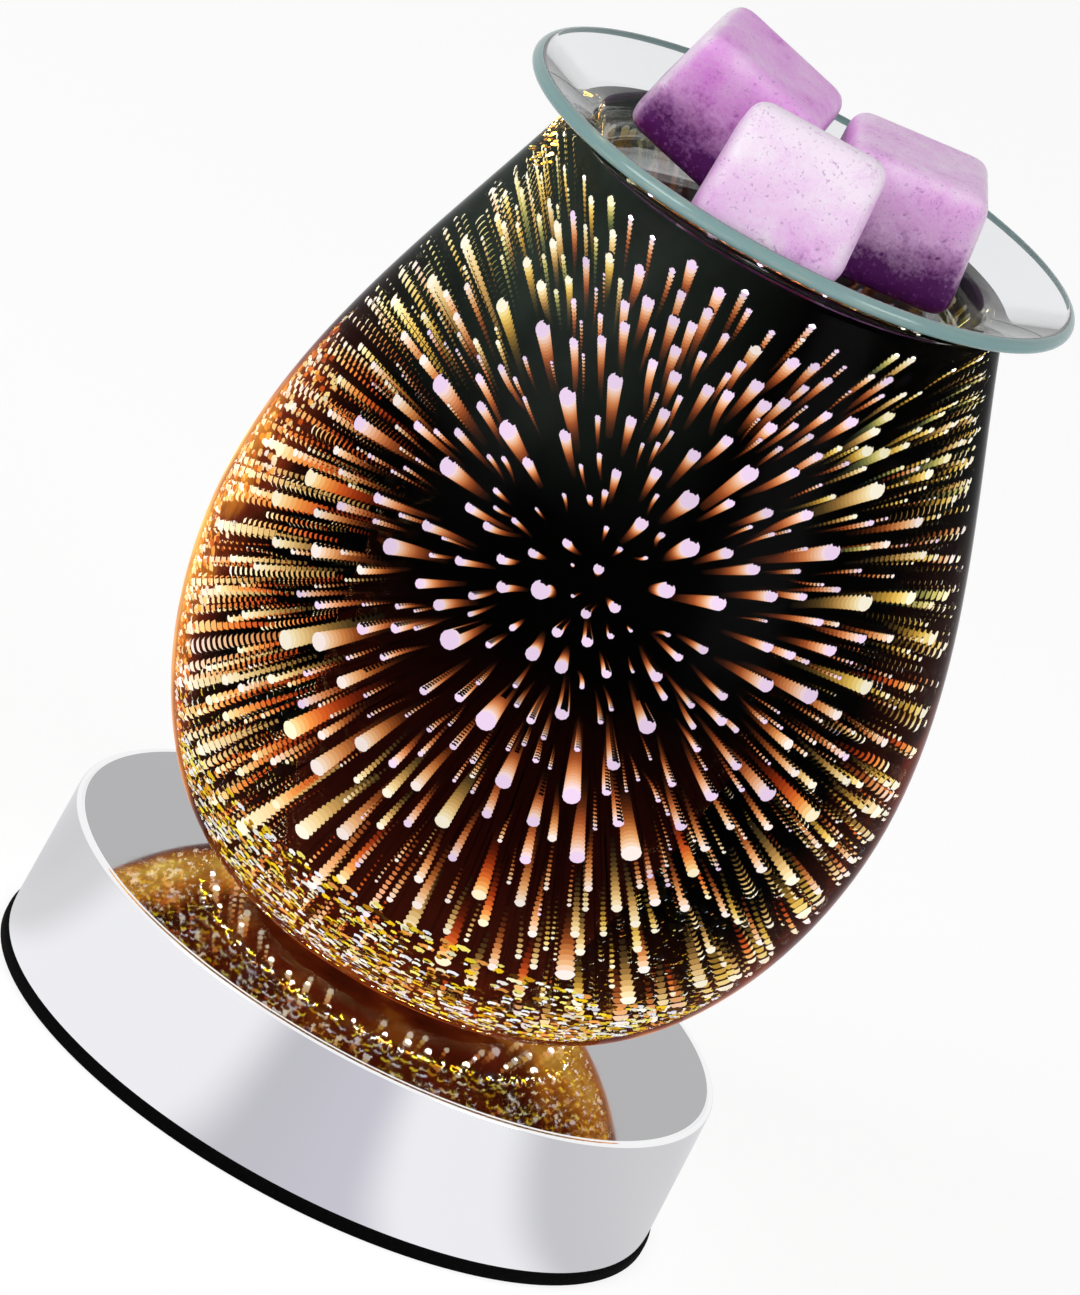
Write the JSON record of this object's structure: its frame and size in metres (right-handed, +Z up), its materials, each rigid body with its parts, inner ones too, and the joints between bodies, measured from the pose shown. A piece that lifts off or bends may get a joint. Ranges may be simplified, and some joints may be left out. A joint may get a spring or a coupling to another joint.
{
  "type": "aroma lamp",
  "caption": "Touch aroma lamp: an egg-shaped mirrored glass globe on a round chrome base, lit by a reflector bulb that warms wax melts in a glass dish on top.",
  "frame": {"origin": "centre of the base pad's underside, on the table", "axes": "+Z up along the lamp's axis, -Y towards the single front melt, +Y towards the lead's grommet"},
  "size_m": [0.1232, 0.1232, 0.1913],
  "materials": {
    "pad_foam": "matt black foam rubber",
    "chrome_plate": "mirror-polished chrome plate",
    "zinc_steel": "zinc-plated steel",
    "brass": "plain brass",
    "black_rubber": "moulded black rubber",
    "silicone": "translucent silicone",
    "globe_glass": "blown glass with a dark one-way mirror coat",
    "liner_mirror": "glass with an etched mirror coat",
    "dish_glass": "clear pressed glass with a teal edge",
    "bulb_glass": "clear glass",
    "bulb_mirror": "aluminised glass reflector",
    "white_ceramic": "unglazed white ceramic",
    "white_nylon": "moulded nylon",
    "black_plastic": "moulded black plastic",
    "board": "green circuit board",
    "brown_wire": "brown sleeved wire",
    "blue_wire": "blue sleeved wire",
    "yellow_wire": "yellow sleeved wire",
    "light_points": "points of light seen in the two mirrors, lit from the etched dots",
    "lilac_wax": "cast scented wax with a frosted skin"
  },
  "bodies": {
    "lamp": {"base_pad": "pad_foam", "bottom_plate": "zinc_steel", "plate_screw_1": "zinc_steel", "plate_screw_2": "zinc_steel", "plate_screw_3": "zinc_steel", "plate_screw_4": "zinc_steel", "base_shell": "chrome_plate", "cord_grommet": "black_rubber", "threaded_nipple": "zinc_steel", "lock_nut": "zinc_steel", "ring_terminal": "brass", "lock_washer": "zinc_steel", "globe_gasket": "black_rubber", "clamp_pad": "silicone", "clamp_washer": "zinc_steel", "clamp_nut": "zinc_steel", "bracket_nut_lower": "zinc_steel", "bracket_nut_upper": "zinc_steel", "touch_case": "black_plastic", "touch_board": "board", "touch_lid": "black_plastic", "touch_screw_1": "zinc_steel", "touch_screw_2": "zinc_steel", "touch_lead": "yellow_wire", "terminal_block": "white_nylon", "terminal_screw_1": "brass", "terminal_screw_2": "brass", "lamp_lead_live": "brown_wire", "lamp_lead_neutral": "blue_wire", "glass_globe": "globe_glass", "liner_seat": "silicone", "mirror_liner": "liner_mirror", "light_rows": "light_points", "holder_bracket": "zinc_steel", "lamp_holder": "white_ceramic", "holder_screw_1": "zinc_steel", "holder_screw_2": "zinc_steel", "holder_contact_live": "brass", "holder_contact_neutral": "brass"},
    "bulb": {"bulb_cap": "white_ceramic", "bulb_pin_1": "zinc_steel", "bulb_pin_2": "zinc_steel", "bulb_reflector": "bulb_mirror", "bulb_capsule": "bulb_glass", "bulb_lens": "bulb_glass"},
    "dish": {"glass_dish": "dish_glass"},
    "front_melt": {"wax_melt_front": "lilac_wax"},
    "left_melt": {"wax_melt_left": "lilac_wax"},
    "right_melt": {"wax_melt_right": "lilac_wax"}
  },
  "joints": [
    {"name": "bulb_twist", "type": "hinge", "parent": "lamp", "child": "bulb", "pos_m": [0, 0, 0.08], "axis": [0, 0, 1], "range_deg": [0, 25]},
    {"name": "dish_lift", "type": "slide", "parent": "lamp", "child": "dish", "axis": [0, 0, 1], "range_m": [0, 0.06]},
    {"name": "front_melt_lift", "type": "slide", "parent": "dish", "child": "front_melt", "axis": [0, 0, 1], "range_m": [0, 0.04]},
    {"name": "left_melt_lift", "type": "slide", "parent": "dish", "child": "left_melt", "axis": [0, 0, 1], "range_m": [0, 0.04]},
    {"name": "right_melt_lift", "type": "slide", "parent": "dish", "child": "right_melt", "axis": [0, 0, 1], "range_m": [0, 0.04]}
  ]
}
